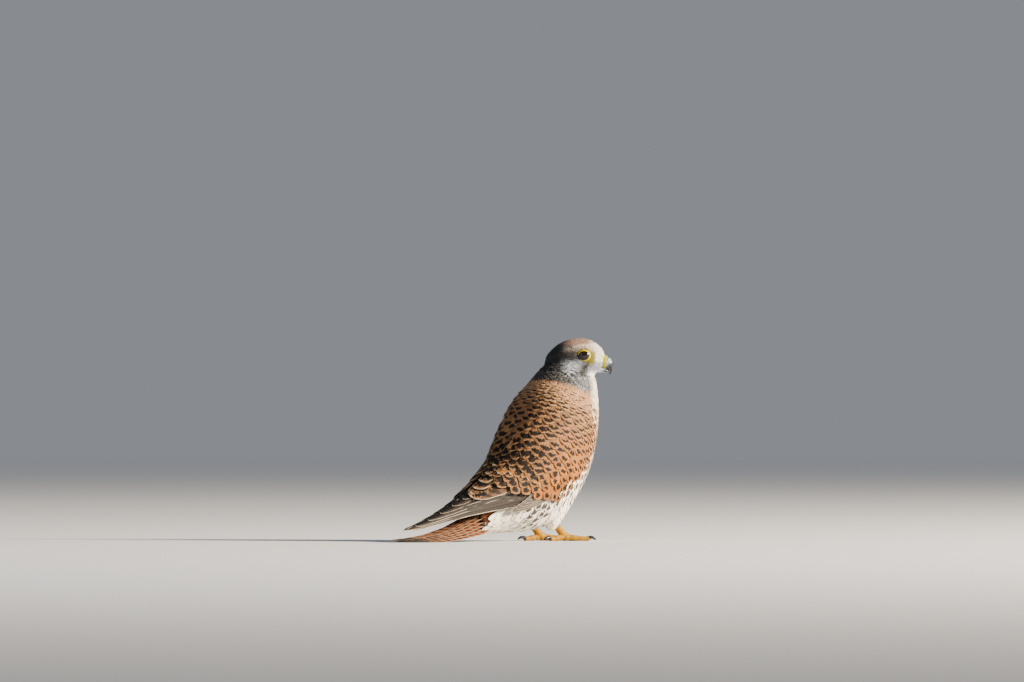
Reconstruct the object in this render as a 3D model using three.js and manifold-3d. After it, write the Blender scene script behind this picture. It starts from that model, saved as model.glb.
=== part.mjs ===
// A common kestrel, life size, standing on a flat floor with its head turned to its right.
// Millimetres, +Z up. The bird faces -Y, and +X is its left side.
import * as THREE from "three";
import { mergeVertices } from "three/addons/utils/BufferGeometryUtils.js";
import Module from "manifold-3d";

const wasm = await Module();
wasm.setup();

// Driving sizes, in millimetres and degrees
const gap = 0.3; // left between any two pieces that meet
const headTurn = 40; // to the bird's right, from its heading
const headTilt = 2; // bill below level
const eyeRadius = 7.2;
const legSpread = 17; // from the middle to each foot
const toeRadius = 2.5;
const featherEdge = 1.1; // thinnest edge of wings and tail
const coverReach = 6; // how far outside a wing the body under it is cleared away
const soleDepth = 0.7; // how far the toes and tail are pressed flat by the floor

// Stations of the torso, from the tail's root up into the skull. Each gives the centre, forward and
// up from a point on the floor between the feet, and the half sizes to the back, belly and side.
const torsoStations = [
  { forward: -94, up: 18, back: 10, belly: 12, side: 15 },
  { forward: -70, up: 28, back: 18, belly: 23, side: 23 },
  { forward: -46, up: 43, back: 30, belly: 41, side: 33 },
  { forward: -26, up: 61, back: 39, belly: 50, side: 38.5 },
  { forward: -12, up: 82, back: 44, belly: 51, side: 40.5 },
  { forward: -2, up: 103, back: 44.5, belly: 48.5, side: 40 },
  { forward: 8, up: 125, back: 39, belly: 42, side: 36 },
  { forward: 15, up: 142, back: 32, belly: 35.5, side: 30 },
  { forward: 20, up: 155, back: 26, belly: 29, side: 24 },
  { forward: 23, up: 166, back: 18, belly: 19, side: 16 },
];

// Stations of a folded wing, from the shoulder to the tip. Its skin is an arc round a centre: out is
// the reach to the back, side the reach sideways, and top and low the arc's ends, in degrees from the back.
const wingStations = [
  { forward: 11, up: 132, out: 38, side: 35.5, top: 46, low: 92, thick: 3 },
  { forward: 5, up: 118, out: 43, side: 40.5, top: 28, low: 106, thick: 6 },
  { forward: -2, up: 102, out: 46.5, side: 43, top: 19, low: 113, thick: 7 },
  { forward: -12, up: 82, out: 48, side: 44, top: 13, low: 116, thick: 7.5 },
  { forward: -25, up: 63, out: 47, side: 42.5, top: 9, low: 117, thick: 7.5 },
  { forward: -43, up: 48, out: 42, side: 38, top: 7, low: 113, thick: 7 },
  { forward: -66, up: 37, out: 34, side: 32, top: 6, low: 110, thick: 6 },
  { forward: -92, up: 28, out: 25.5, side: 25, top: 6, low: 106, thick: 5 },
  { forward: -118, up: 21, out: 17.5, side: 18.5, top: 7, low: 102, thick: 4 },
  { forward: -143, up: 15.5, out: 11.5, side: 13, top: 9, low: 100, thick: 3 },
  { forward: -163, up: 11.5, out: 8, side: 9, top: 12, low: 98, thick: 2.4 },
  { forward: -175, up: 9.8, out: 6, side: 7, top: 16, low: 94, thick: 2 },
  { forward: -181, up: 9.2, out: 3.6, side: 4.4, top: 22, low: 88, thick: 1.4 },
];
const primariesFrom = 0.62; // share of the wing's stations where the primaries show past the arm

// Cuts between head and neck and between neck and trunk: a point on each, and its lean to the back
const skullCut = { forward: 20, up: 152, lean: 16 };
const shoulderCut = { forward: 12, up: 131, lean: 17.5 };

// Stations of the closed tail, from inside the rump to the tip on the floor
const tailStations = [
  { forward: -78, up: 25, back: 12, belly: 12, side: 16 },
  { forward: -100, up: 16, back: 9, belly: 10, side: 16.5 },
  { forward: -122, up: 9.2, back: 5.6, belly: 7.2, side: 17.2 },
  { forward: -145, up: 4.6, back: 3.2, belly: 4.5, side: 18.6 },
  { forward: -166, up: 2.4, back: 1.9, belly: 2.8, side: 20 },
  { forward: -179, up: 1.7, back: 1.5, belly: 2.1, side: 19 },
  { forward: -187, up: 1.5, back: 1.3, belly: 1.9, side: 14.5 },
  { forward: -191, up: 1.3, back: 1, belly: 1.7, side: 7 },
];

// Stations of the head, from the nape to the bill's base, along the way it faces from the skull's middle
const headMiddle = { forward: 27, side: -6, up: 168 };
const headStations = [
  { along: -31, top: 0, bottom: 9, half: 4 },
  { along: -28.5, top: 4.6, bottom: 16, half: 10.5 },
  { along: -22, top: 11.8, bottom: 20, half: 16 },
  { along: -14, top: 16.8, bottom: 21, half: 19.4 },
  { along: -4, top: 19.9, bottom: 20.5, half: 20.4 },
  { along: 6, top: 19.9, bottom: 18.2, half: 19.5 },
  { along: 13, top: 17.7, bottom: 15, half: 16.2 },
  { along: 18.5, top: 14.2, bottom: 12.4, half: 11.8 },
  { along: 22.8, top: 9.8, bottom: 9.2, half: 7.4 },
  { along: 24.4, top: 5, bottom: 5.5, half: 4 },
];
const eyePlace = { along: 4.8, up: 3.9, out: 12.9 };

// Half height, half width and centre height of the bill, forward from its root
const cereStations = [
  { along: 19, up: -0.6, high: 6.2, wide: 6.2 },
  { along: 22.5, up: -1.4, high: 6.2, wide: 5.9 },
  { along: 25.6, up: -2, high: 5.6, wide: 5.1 },
];
const hookStations = [
  { along: 25.6, up: -2, high: 5.4, wide: 4.9 },
  { along: 27.8, up: -3.3, high: 4.8, wide: 4.2 },
  { along: 29.4, up: -5.8, high: 3.4, wide: 3.2 },
  { along: 30.1, up: -8.6, high: 2.1, wide: 2 },
  { along: 29.9, up: -11.1, high: 1.2, wide: 1.1 },
  { along: 29.3, up: -13, high: 0.5, wide: 0.5 },
];
const lowerBillStations = [
  { along: 17.5, up: -8.6, high: 2.6, wide: 4.6 },
  { along: 22, up: -9.1, high: 2.3, wide: 4.1 },
  { along: 25.8, up: -9.5, high: 1.7, wide: 3 },
  { along: 28, up: -9.6, high: 0.8, wide: 1.6 },
];

// Stations of the feathered thigh and of the bare leg down to the foot. Share is of legSpread.
const thighStations = [
  { forward: 2, share: 0.82, up: 52, radius: 16.5 },
  { forward: -5, share: 0.92, up: 38, radius: 13.4 },
  { forward: -12, share: 1, up: 25, radius: 10.2 },
  { forward: -15, share: 1, up: 16, radius: 7.1 },
  { forward: -16.5, share: 1, up: 10, radius: 4 },
];
const tarsusStations = [
  { forward: -12, share: 1, up: 19, radius: 2.9 },
  { forward: -6.5, share: 1, up: 11.5, radius: 3 },
  { forward: 0, share: 1, up: 5.4, radius: 3.3 },
  { forward: 3.5, share: 1, up: 3.2, radius: 4.2 },
];

// Toes: how far each turns from straight ahead (away from the other foot), its length and claw
const toes = {
  middle: { turn: -2, length: 28, claw: 9.5 },
  inner: { turn: -25, length: 20, claw: 10 },
  outer: { turn: 28, length: 21, claw: 8.5 },
  hind: { turn: 176, length: 15, claw: 10 },
};
const toeRoot = 2.5; // where a toe starts, out from the middle of the foot
const padLength = 7;
const clawRadius = 1.85;
const clawPoint = 0.3;
// Lines of a toe and its claw: share of the length, and height over the toe's tip
const toeLine = [
  { share: 0, rise: 1.4 },
  { share: 0.3, rise: 1.3 },
  { share: 0.65, rise: 0.2 },
  { share: 1, rise: 0 },
];
const clawLine = [
  { share: -0.1, rise: 0.5 },
  { share: 0.32, rise: 1.7 },
  { share: 0.66, rise: 0.7 },
  { share: 0.82, rise: -1 },
];

const radians = THREE.MathUtils.degToRad;
const place = (forward, side, up) => new THREE.Vector3(side, -forward, up);
const leftward = new THREE.Vector3(1, 0, 0);
const upward = new THREE.Vector3(0, 0, 1);

// A closed solid through rings of equal count, with a fan over each end
function solidThrough(rings) {
  const count = rings[0].length;
  const points = rings.flat();
  const faces = [];
  for (let r = 0; r + 1 < rings.length; r++) {
    for (let k = 0; k < count; k++) {
      const a = r * count + k;
      const b = r * count + ((k + 1) % count);
      faces.push(a, b, b + count, a, b + count, a + count);
    }
  }
  for (const [ring, first] of [
    [rings[0], 0],
    [rings.at(-1), (rings.length - 1) * count],
  ]) {
    const middle = ring.reduce((sum, p) => sum.add(p), new THREE.Vector3()).divideScalar(count);
    points.push(middle);
    for (let k = 0; k < count; k++) {
      const next = (k + 1) % count;
      faces.push(points.length - 1, first + (first ? k : next), first + (first ? next : k));
    }
  }
  const geometry = new THREE.BufferGeometry().setFromPoints(points);
  geometry.setIndex(faces);
  return solidOf(geometry);
}

function solidOf(source) {
  const geometry = source.clone();
  geometry.deleteAttribute("normal");
  geometry.deleteAttribute("uv");
  const merged = mergeVertices(geometry, 1e-4);
  const corners = new Uint32Array(merged.index.array);
  const build = () =>
    new wasm.Manifold(
      new wasm.Mesh({
        numProp: 3,
        vertProperties: new Float32Array(merged.attributes.position.array),
        triVerts: corners,
      }),
    );
  const made = build();
  if (made.volume() > 0) return made;
  for (let i = 0; i < corners.length; i += 3) {
    const first = corners[i + 1];
    corners[i + 1] = corners[i + 2];
    corners[i + 2] = first;
  }
  return build();
}

const largest = (solid) =>
  solid.decompose().sort((a, b) => b.volume() - a.volume())[0];

// Smooth values between stations: at(t) gives each named value at share t of the stations' count
function between(stations) {
  const names = Object.keys(stations[0]);
  const curves = names.map(
    (name) =>
      new THREE.CatmullRomCurve3(stations.map((s, i) => new THREE.Vector3(i, s[name], 0)), false, "catmullrom"),
  );
  return (t) => Object.fromEntries(names.map((name, i) => [name, curves[i].getPoint(t).y]));
}

// Centre, and the direction to the back, of a body section at share t of its stations
function frameAt(at, t) {
  const step = 0.01;
  const here = at(t);
  const ahead = at(Math.min(1, t + step));
  const behind = at(Math.max(0, t - step));
  const along = place(ahead.forward - behind.forward, 0, ahead.up - behind.up).normalize();
  return { ...here, centre: place(here.forward, 0, here.up), along };
}

function roundRing(centre, across, high, wide, count, highBelow = high) {
  const ring = [];
  for (let k = 0; k < count; k++) {
    const angle = (2 * Math.PI * k) / count;
    const reach = Math.cos(angle) > 0 ? high : highBelow;
    ring.push(
      centre
        .clone()
        .addScaledVector(across[0], reach * Math.cos(angle))
        .addScaledVector(across[1], wide * Math.sin(angle)),
    );
  }
  return ring;
}

// A body part with a straight middle plane, such as the torso or the tail
function bodySolid(stations, ringCount, pointCount, grow = 0) {
  const at = between(stations);
  const rings = [];
  for (let i = 0; i <= ringCount; i++) {
    const s = frameAt(at, i / ringCount);
    const toBack = s.along.clone().cross(leftward);
    if (toBack.z < 0) toBack.negate();
    const centre = s.centre.addScaledVector(s.along, i === 0 ? -grow : i === ringCount ? grow : 0);
    rings.push(
      roundRing(centre, [toBack, leftward], s.back + grow, s.side + grow, pointCount, s.belly + grow),
    );
  }
  return solidThrough(rings);
}

// A folded wing: sideSign is 1 for the left wing and -1 for the right. Cover reaches out past its
// skin, which clears away whatever would show through it.
function wingSolid(sideSign, grow = 0, cover = 0) {
  const at = between(wingStations);
  const ringCount = 20;
  const arcCount = 8;
  const rings = [];
  for (let i = 0; i <= ringCount; i++) {
    const s = frameAt(at, i / ringCount);
    const toBack = s.along.clone().cross(leftward);
    if (toBack.z < 0) toBack.negate();
    const centre = s.centre.addScaledVector(s.along, i === 0 ? -grow : i === ringCount ? grow : 0);
    const reach = (s.out + s.side) / 2;
    const spare = THREE.MathUtils.radToDeg(grow / reach);
    const outer = [];
    const inner = [];
    for (let k = 0; k <= arcCount; k++) {
      const share = k / arcCount;
      const angle = radians(THREE.MathUtils.lerp(s.top - spare, s.low + spare, share));
      const depth = Math.max(featherEdge, s.thick * Math.sin(Math.PI * (0.12 + 0.76 * share)));
      const point = (inset) =>
        centre
          .clone()
          .addScaledVector(toBack, (s.out - inset) * Math.cos(angle))
          .addScaledVector(leftward, sideSign * (s.side - inset) * Math.sin(angle));
      outer.push(point(-grow - cover));
      inner.unshift(point(depth + grow));
    }
    rings.push([...outer, ...inner]);
  }
  return solidThrough(rings);
}

// Directions of the head: ahead, to its left and up
const headAhead = place(1, 0, 0)
  .applyAxisAngle(leftward, radians(headTilt))
  .applyAxisAngle(upward, -radians(headTurn));
const headLeft = leftward.clone().applyAxisAngle(upward, -radians(headTurn));
const headUp = headLeft.clone().cross(headAhead).negate();
const headPoint = (along, side, up) =>
  place(headMiddle.forward, headMiddle.side, headMiddle.up)
    .addScaledVector(headAhead, along)
    .addScaledVector(headLeft, side)
    .addScaledVector(headUp, up);

function headSolid() {
  const at = between(headStations);
  const ringCount = 13;
  const rings = [];
  for (let i = 0; i <= ringCount; i++) {
    const s = at(i / ringCount);
    rings.push(roundRing(headPoint(s.along, 0, 0), [headUp, headLeft], s.top, s.half, 22, s.bottom));
  }
  return solidThrough(rings);
}

function billSolid(stations, ringCount, grow = 0) {
  const at = between(stations);
  const rings = [];
  for (let i = 0; i <= ringCount; i++) {
    const here = at(i / ringCount);
    const ahead = at(Math.min(1, i / ringCount + 0.02));
    const behind = at(Math.max(0, i / ringCount - 0.02));
    const slope = Math.atan2(ahead.up - behind.up, ahead.along - behind.along);
    const high = headUp.clone().applyAxisAngle(headLeft, -slope);
    const centre = headPoint(here.along, 0, here.up);
    rings.push(roundRing(centre, [high, headLeft], here.high + grow, here.wide + grow, 12));
  }
  return solidThrough(rings);
}

function ball(centre, radius, across = 12, down = 8) {
  const geometry = new THREE.SphereGeometry(radius, across, down);
  geometry.translate(centre.x, centre.y, centre.z);
  return solidOf(geometry);
}

// A box that holds everything on the far side of a plane through a point
function beyond(point, normal) {
  const size = 600; // more than the whole bird
  const geometry = new THREE.BoxGeometry(size, size, size);
  geometry.translate(0, 0, size / 2);
  geometry.applyQuaternion(new THREE.Quaternion().setFromUnitVectors(upward, normal));
  geometry.translate(point.x, point.y, point.z);
  return solidOf(geometry);
}

const underFloor = beyond(new THREE.Vector3(0, 0, 0), new THREE.Vector3(0, 0, -1));

// A limb of round sections along a curve, with a radius for each share of its length
function limbSolid(curve, radiusAt, ringCount, pointCount, grow = 0) {
  const rings = [];
  const frames = curve.computeFrenetFrames(ringCount, false);
  for (let i = 0; i <= ringCount; i++) {
    const along = frames.tangents[i];
    const end = i === 0 ? -grow : i === ringCount ? grow : 0;
    const centre = curve.getPoint(i / ringCount).addScaledVector(along, end);
    const radius = radiusAt(i / ringCount) + grow;
    rings.push(roundRing(centre, [frames.normals[i], frames.binormals[i]], radius, radius, pointCount));
  }
  return solidThrough(rings);
}

const parts = {};
const torsoRings = 17;
const torsoPoints = 26;

// Body, cut into head, neck and trunk
const wings = { left: wingSolid(1), right: wingSolid(-1) };
const wingRoom = wingSolid(1, gap).add(wingSolid(-1, gap));
const wingCover = wingSolid(1, gap, coverReach).add(wingSolid(-1, gap, coverReach));
const torso = bodySolid(torsoStations, torsoRings, torsoPoints);
const torsoRoom = bodySolid(torsoStations, torsoRings, torsoPoints, gap);
const headOnly = headSolid();
const cutAt = ({ forward, up, lean }) => ({
  point: place(forward, 0, up),
  normal: place(-Math.sin(radians(lean)), 0, Math.cos(radians(lean))),
});
const skull = cutAt(skullCut);
const shoulders = cutAt(shoulderCut);
const past = (cut, distance) =>
  beyond(cut.point.clone().addScaledVector(cut.normal, distance), cut.normal);

const eyes = {};
const eyeRoom = {};
for (const [name, sign] of [
  ["left", 1],
  ["right", -1],
]) {
  const centre = headPoint(eyePlace.along, sign * eyePlace.out, eyePlace.up);
  eyes[name] = ball(centre, eyeRadius);
  eyeRoom[name] = ball(centre, eyeRadius + gap);
}

const bill = {
  cere: billSolid(cereStations, 4),
  upper_bill: billSolid(hookStations, 9),
  lower_bill: billSolid(lowerBillStations, 6),
};
const billRoom = billSolid(cereStations, 4, gap)
  .add(billSolid(hookStations, 9, gap))
  .add(billSolid(lowerBillStations, 6, gap));

const headAndNeck = headOnly
  .add(torso.intersect(past(shoulders, gap / 2)))
  .subtract(wingCover)
  .subtract(eyeRoom.left)
  .subtract(eyeRoom.right)
  .subtract(billRoom);
parts.head = largest(headAndNeck.intersect(past(skull, gap / 2)));
parts.neck = largest(headAndNeck.subtract(past(skull, -gap / 2)).intersect(past(shoulders, gap / 2)));
parts.trunk = largest(torso.subtract(past(shoulders, -gap / 2)).subtract(wingCover));
parts.eye_left = eyes.left;
parts.eye_right = eyes.right;
parts.cere = bill.cere;
parts.upper_bill = bill.upper_bill.subtract(billSolid(cereStations, 4, gap));
parts.lower_bill = bill.lower_bill
  .subtract(billSolid(cereStations, 4, gap))
  .subtract(billSolid(hookStations, 9, gap));

// Wings, each cut into the arm with its coverts and the long primaries
const wingAt = between(wingStations);
const cutFrame = frameAt(wingAt, primariesFrom);
const wingCut = { point: cutFrame.centre, normal: cutFrame.along };
for (const side of ["left", "right"]) {
  parts["wing_" + side] = largest(wings[side].subtract(past(wingCut, -gap / 2)));
  parts["primaries_" + side] = largest(wings[side].intersect(past(wingCut, gap / 2)));
}

// Tail, pressed flat where it lies on the floor
parts.tail = largest(
  bodySolid(tailStations, 14, 16).subtract(torsoRoom).subtract(wingRoom).subtract(underFloor),
);

// Legs and feet
function legSolid(stations, sign, ringCount, pointCount, grow) {
  const at = between(stations);
  const line = stations.map((s) => place(s.forward, sign * legSpread * s.share, s.up));
  return limbSolid(new THREE.CatmullRomCurve3(line), (t) => at(t).radius, ringCount, pointCount, grow);
}

for (const [side, sign] of [
  ["left", 1],
  ["right", -1],
]) {
  const thigh = (grow) => legSolid(thighStations, sign, 9, 16, grow);
  const tarsus = (grow) => legSolid(tarsusStations, sign, 6, 10, grow);
  parts["thigh_" + side] = largest(thigh(0).subtract(torsoRoom).subtract(wingRoom));
  parts["tarsus_" + side] = largest(
    tarsus(0).subtract(thigh(gap)).subtract(torsoRoom).subtract(underFloor),
  );

  let footRoom = tarsus(gap);
  const low = toeRadius - soleDepth;
  for (const [name, toe] of Object.entries(toes)) {
    const heading = radians(toe.turn) * sign;
    const direction = place(Math.cos(heading), Math.sin(heading), 0);
    const lineOf = (points, from, length) =>
      new THREE.CatmullRomCurve3(
        points.map((p) =>
          place(0, sign * legSpread, low + p.rise).addScaledVector(direction, from + length * p.share),
        ),
      );
    const toeCurve = lineOf(toeLine, toeRoot, toe.length);
    const pads = Math.round(toe.length / padLength);
    const padRadius = (t) => toeRadius * (1 - 0.16 * t + 0.09 * Math.cos(2 * Math.PI * pads * t));
    const toeSolid = (grow) => limbSolid(toeCurve, padRadius, 8, 7, grow);
    parts[`toe_${name}_${side}`] = largest(toeSolid(0).subtract(footRoom).subtract(underFloor));
    footRoom = footRoom.add(toeSolid(gap));

    const clawCurve = lineOf(clawLine, toeRoot + toe.length, toe.claw);
    const taper = (t) => (clawRadius - clawPoint) * (1 - t) ** 0.8 + clawPoint;
    parts[`claw_${name}_${side}`] = largest(
      limbSolid(clawCurve, taper, 4, 6).subtract(toeSolid(gap)).subtract(underFloor),
    );
  }
}

const finish = (colour, roughness) => new THREE.MeshStandardMaterial({ color: colour, roughness, metalness: 0 });
const finishes = [
  [/^(head)/, finish(0xb79f86, 0.9)],
  [/^(neck)/, finish(0xc69a72, 0.9)],
  [/^(trunk|thigh)/, finish(0xe4cfae, 0.9)],
  [/^(wing)/, finish(0xb87a45, 0.85)],
  [/^(primaries)/, finish(0x4a4038, 0.8)],
  [/^(tail)/, finish(0xa9764c, 0.85)],
  [/^(eye)/, finish(0x2b1a12, 0.1)],
  [/^(cere|tarsus|toe)/, finish(0xf0bc1c, 0.55)],
  [/^(upper_bill|lower_bill|claw)/, finish(0x2c3036, 0.35)],
];

const kestrel = new THREE.Group();
for (const [name, solid] of Object.entries(parts)) {
  const made = solid.getMesh();
  const geometry = new THREE.BufferGeometry();
  geometry.setAttribute("position", new THREE.BufferAttribute(new Float32Array(made.vertProperties), 3));
  geometry.setIndex(new THREE.BufferAttribute(new Uint32Array(made.triVerts), 1));
  geometry.computeVertexNormals();
  const mesh = new THREE.Mesh(geometry, finishes.find(([pattern]) => pattern.test(name))[1]);
  mesh.name = name;
  kestrel.add(mesh);
}

// The origin is the middle of the bounding box, at floor level
const box = new THREE.Box3().setFromObject(kestrel);
kestrel.position.set(-(box.min.x + box.max.x) / 2, -(box.min.y + box.max.y) / 2, -box.min.z);

export default kestrel;
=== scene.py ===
import math

import bmesh
import bpy
import numpy as np
from mathutils import Matrix, Vector
from mathutils.bvhtree import BVHTree
from mathutils.kdtree import KDTree


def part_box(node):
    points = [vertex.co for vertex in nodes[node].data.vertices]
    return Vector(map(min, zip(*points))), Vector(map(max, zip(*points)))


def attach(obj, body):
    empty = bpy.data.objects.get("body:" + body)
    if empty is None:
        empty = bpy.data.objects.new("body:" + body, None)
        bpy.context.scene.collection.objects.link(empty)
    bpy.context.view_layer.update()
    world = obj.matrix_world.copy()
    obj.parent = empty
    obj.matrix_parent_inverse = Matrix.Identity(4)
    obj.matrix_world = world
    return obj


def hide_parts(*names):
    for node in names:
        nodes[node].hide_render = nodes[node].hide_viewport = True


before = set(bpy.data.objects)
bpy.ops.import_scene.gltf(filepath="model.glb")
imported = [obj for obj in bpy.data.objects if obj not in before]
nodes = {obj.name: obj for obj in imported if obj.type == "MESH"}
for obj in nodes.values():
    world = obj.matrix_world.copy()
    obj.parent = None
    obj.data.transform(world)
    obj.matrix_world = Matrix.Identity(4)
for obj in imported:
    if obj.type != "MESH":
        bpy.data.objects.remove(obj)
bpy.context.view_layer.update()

mm = 0.001
sides = ("left", "right")
rng = np.random.default_rng(7)

# The floor point midway between the feet, from the tail's tip 191 mm behind it
tailReach = 191.05 * mm
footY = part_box("tail")[1].y - tailReach


def place(forward, side, up):
    return Vector((side * mm, footY - forward * mm, up * mm))


def paint(text):  # linear colour from a hex one
    parts = [int(text[i : i + 2], 16) / 255 for i in (0, 2, 4)]
    return np.array([c / 12.92 if c <= 0.04045 else ((c + 0.055) / 1.055) ** 2.4 for c in parts])


def unit(v):
    return v / np.maximum(np.linalg.norm(v, axis=-1, keepdims=True), 1e-12)


def grow(value, start, over):  # 0 up to start, then rising to 1; with over below 0 it rises the other way
    return np.clip((value - start) / over, 0, 1)


def curve(at, table):  # read off a table of places and values
    return float(np.interp(at, *table))


def boxMiddle(node):
    low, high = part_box(node)
    return (low + high) / 2


def addObject(name, data):
    piece = bpy.data.objects.new(name, data)
    bpy.context.scene.collection.objects.link(piece)
    return piece


def aimed(way):  # the turn of a camera or lamp that looks this way
    return way.to_track_quat("-Z", "Y").to_euler()


# Camera, at the photograph's angle and framing: degrees from the bird's right side, metres away, pixels to a
# millimetre, millimetres from the feet to the middle of the picture, and the picture's width in pixels
view = {"away": 40, "distance": 14.0, "scale": 1.08, "across": -37, "up": 185, "imageWidth": 1024}


def makeCamera():
    turn = math.radians(view["away"])
    toCamera = Vector((-math.cos(turn), math.sin(turn), 0))
    right = Vector((-math.sin(turn), -math.cos(turn), 0))
    data = bpy.data.cameras.new("photo_camera")
    data.sensor_width = 36
    data.lens = data.sensor_width * view["distance"] * view["scale"] / (view["imageWidth"] * mm)
    data.clip_end = 100
    camera = addObject("photo_camera", data)
    aim = place(0, 0, 0) + right * view["across"] * mm + Vector((0, 0, view["up"] * mm))
    camera.location = aim + toCamera * view["distance"]
    camera.rotation_euler = aimed(-toCamera)
    bpy.context.scene.camera = camera
    return toCamera, right


toCamera, imageRight = makeCamera()
print("camera set")


# Node trees: small helpers that keep the materials below short
def newMaterial(name):
    material = bpy.data.materials.new(name)
    material.use_nodes = True
    tree = material.node_tree
    return material, tree, tree.nodes["Principled BSDF"]


def feed(tree, socket, value):
    if isinstance(value, bpy.types.NodeSocket):
        tree.links.new(value, socket)
    elif value is not None:
        socket.default_value = value


def maths(tree, operation, a, b=None, clamp=False):
    node = tree.nodes.new("ShaderNodeMath")
    node.operation = operation
    node.use_clamp = clamp
    for socket, value in zip(node.inputs, (a, b)):
        feed(tree, socket, value)
    return node.outputs[0]


def vectorMaths(tree, operation, a, b=None):
    node = tree.nodes.new("ShaderNodeVectorMath")
    node.operation = operation
    for socket, value in zip(node.inputs, (a, b)):
        feed(tree, socket, value)
    return node.outputs


def ramp(tree, value, low, high, outLow=0.0, outHigh=1.0):
    node = tree.nodes.new("ShaderNodeMapRange")
    node.interpolation_type = "SMOOTHSTEP"
    for socket, v in zip(node.inputs[:5], (value, low, high, outLow, outHigh)):
        feed(tree, socket, v)
    return node.outputs[0]


def blendColour(tree, factor, a, b, mode="MIX"):
    node = tree.nodes.new("ShaderNodeMix")
    node.data_type = "RGBA"
    node.blend_type = mode
    feed(tree, node.inputs[0], factor)
    for socket, v in zip((node.inputs[6], node.inputs[7]), (a, b)):
        feed(tree, socket, (*v, 1) if isinstance(v, np.ndarray) else v)
    return node.outputs[2]


def attribute(tree, name, output):
    node = tree.nodes.new("ShaderNodeAttribute")
    node.attribute_name = name
    return node.outputs[output]


def split(tree, vector):
    node = tree.nodes.new("ShaderNodeSeparateXYZ")
    feed(tree, node.inputs[0], vector)
    return node.outputs


def joinXyz(tree, x, y, z):
    node = tree.nodes.new("ShaderNodeCombineXYZ")
    for socket, v in zip(node.inputs, (x, y, z)):
        feed(tree, socket, v)
    return node.outputs[0]


def noise(tree, vector, scale, detail=2.0):
    node = tree.nodes.new("ShaderNodeTexNoise")
    for name, value in (("Vector", vector), ("Scale", scale), ("Detail", detail)):
        feed(tree, node.inputs[name], value)
    return node.outputs["Fac"]


def objectPlace(tree):
    return tree.nodes.new("ShaderNodeTexCoord").outputs["Object"]


def bump(tree, shader, height, strength, distance):
    node = tree.nodes.new("ShaderNodeBump")
    for name, value in (("Strength", strength), ("Distance", distance), ("Height", height)):
        feed(tree, node.inputs[name], value)
    tree.links.new(node.outputs[0], shader.inputs["Normal"])


def shaded(tree, colour, shade):
    return blendColour(tree, 1.0, colour, joinXyz(tree, shade, shade, shade), "MULTIPLY")


def dress(tree, shader, colour, roughness, coat=0.0, specular=0.5):
    tree.links.new(colour, shader.inputs["Base Color"])
    shader.inputs["Roughness"].default_value = roughness
    shader.inputs["Coat Weight"].default_value = coat
    shader.inputs["Specular IOR Level"].default_value = specular


# Feather vanes. Each vane carries where it is along (0 to 1) and across (-1 to 1), its ground and edge
# colours, and the shape of its dark marks, so every tract's material is made by this one function.
def plumage(name, markPaint, roughness, barbs=1.0, innerDark=0.0):
    material, tree, shader = newMaterial(name)
    along, across, seed = split(tree, attribute(tree, "vane", "Vector"))
    sideGap, tipGap, distance = split(tree, attribute(tree, "gaps", "Vector"))
    centre, half, repeat = split(tree, attribute(tree, "markAlong", "Vector"))
    reach, bend, streak = split(tree, attribute(tree, "markAcross", "Vector"))
    fringe, strength, band = split(tree, attribute(tree, "markEdge", "Vector"))
    ground = attribute(tree, "ground", "Color")
    edge = attribute(tree, "edge", "Color")
    plus, minus, times, over, power, larger, smaller = (
        lambda a, b, operation=operation: maths(tree, operation, a, b)
        for operation in ("ADD", "SUBTRACT", "MULTIPLY", "DIVIDE", "POWER", "MAXIMUM", "MINIMUM")
    )

    # Dark spots or bars along the vane, a streak down its shaft and a band before its tip, all rough-edged
    side = maths(tree, "ABSOLUTE", across)
    cloud = joinXyz(tree, times(distance, 0.22), times(across, 1.3), seed)
    rough = minus(noise(tree, cloud, 2.0, 3.0), 0.5)
    bow = times(bend, power(side, 1.5))
    wander = times(times(rough, half), 3.4)
    offset = plus(plus(minus(along, centre), bow), wander)
    turns = maths(tree, "ROUND", over(offset, repeat))
    local = minus(offset, times(turns, repeat))
    lengthwise = power(maths(tree, "ABSOLUTE", over(local, half)), 2.0)
    crosswise = power(over(side, reach), 3.0)
    spot = ramp(tree, plus(lengthwise, crosswise), 0.6, 1.25, 1.0, 0.0)
    spread = plus(side, times(rough, 0.16))
    shaftMark = ramp(tree, over(spread, streak), 0.5, 1.3, 1.0, 0.0)
    mark = maths(tree, "MULTIPLY", larger(spot, shaftMark), strength, clamp=True)
    bandGap = plus(tipGap, times(rough, 1.5))
    mark = larger(mark, times(ramp(tree, minus(band, bandGap), 0.0, 1.5), 0.95))
    if innerDark:
        mark = larger(mark, ramp(tree, across, -0.25, 0.1, 0.0, innerDark))

    # Pale edge, a few tenths of a millimetre wide
    gap = plus(smaller(sideGap, times(tipGap, 0.7)), times(rough, fringe))
    pale = ramp(tree, over(gap, fringe), 0.5, 1.2, 0.92, 0.0)

    # Slanting barbs, and the shaft down the middle
    slant = plus(distance, times(sideGap, 0.9))
    barb = noise(tree, joinXyz(tree, times(slant, 2.2), times(across, 0.7), seed), 3.0)
    shade = ramp(tree, barb, 0.25, 0.75, 1.0 - 0.2 * barbs, 1.0 + 0.12 * barbs)
    colour = blendColour(tree, mark, ground, markPaint)
    colour = blendColour(tree, pale, colour, edge)
    dress(tree, shader, shaded(tree, colour, shade), roughness, specular=0.16)
    shaft = ramp(tree, side, 0.02, 0.08, 1.0, 0.0)
    bump(tree, shader, plus(times(barb, 0.6), shaft), 0.35, 0.0004)
    return material


chestnutPlumage = plumage("chestnut_plumage", paint("0d0b0a"), 0.72)
palePlumage = plumage("pale_plumage", paint("2a1d16"), 0.85, 0.6)
flightPlumage = plumage("flight_plumage", paint("141113"), 0.6, innerDark=0.9)


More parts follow.
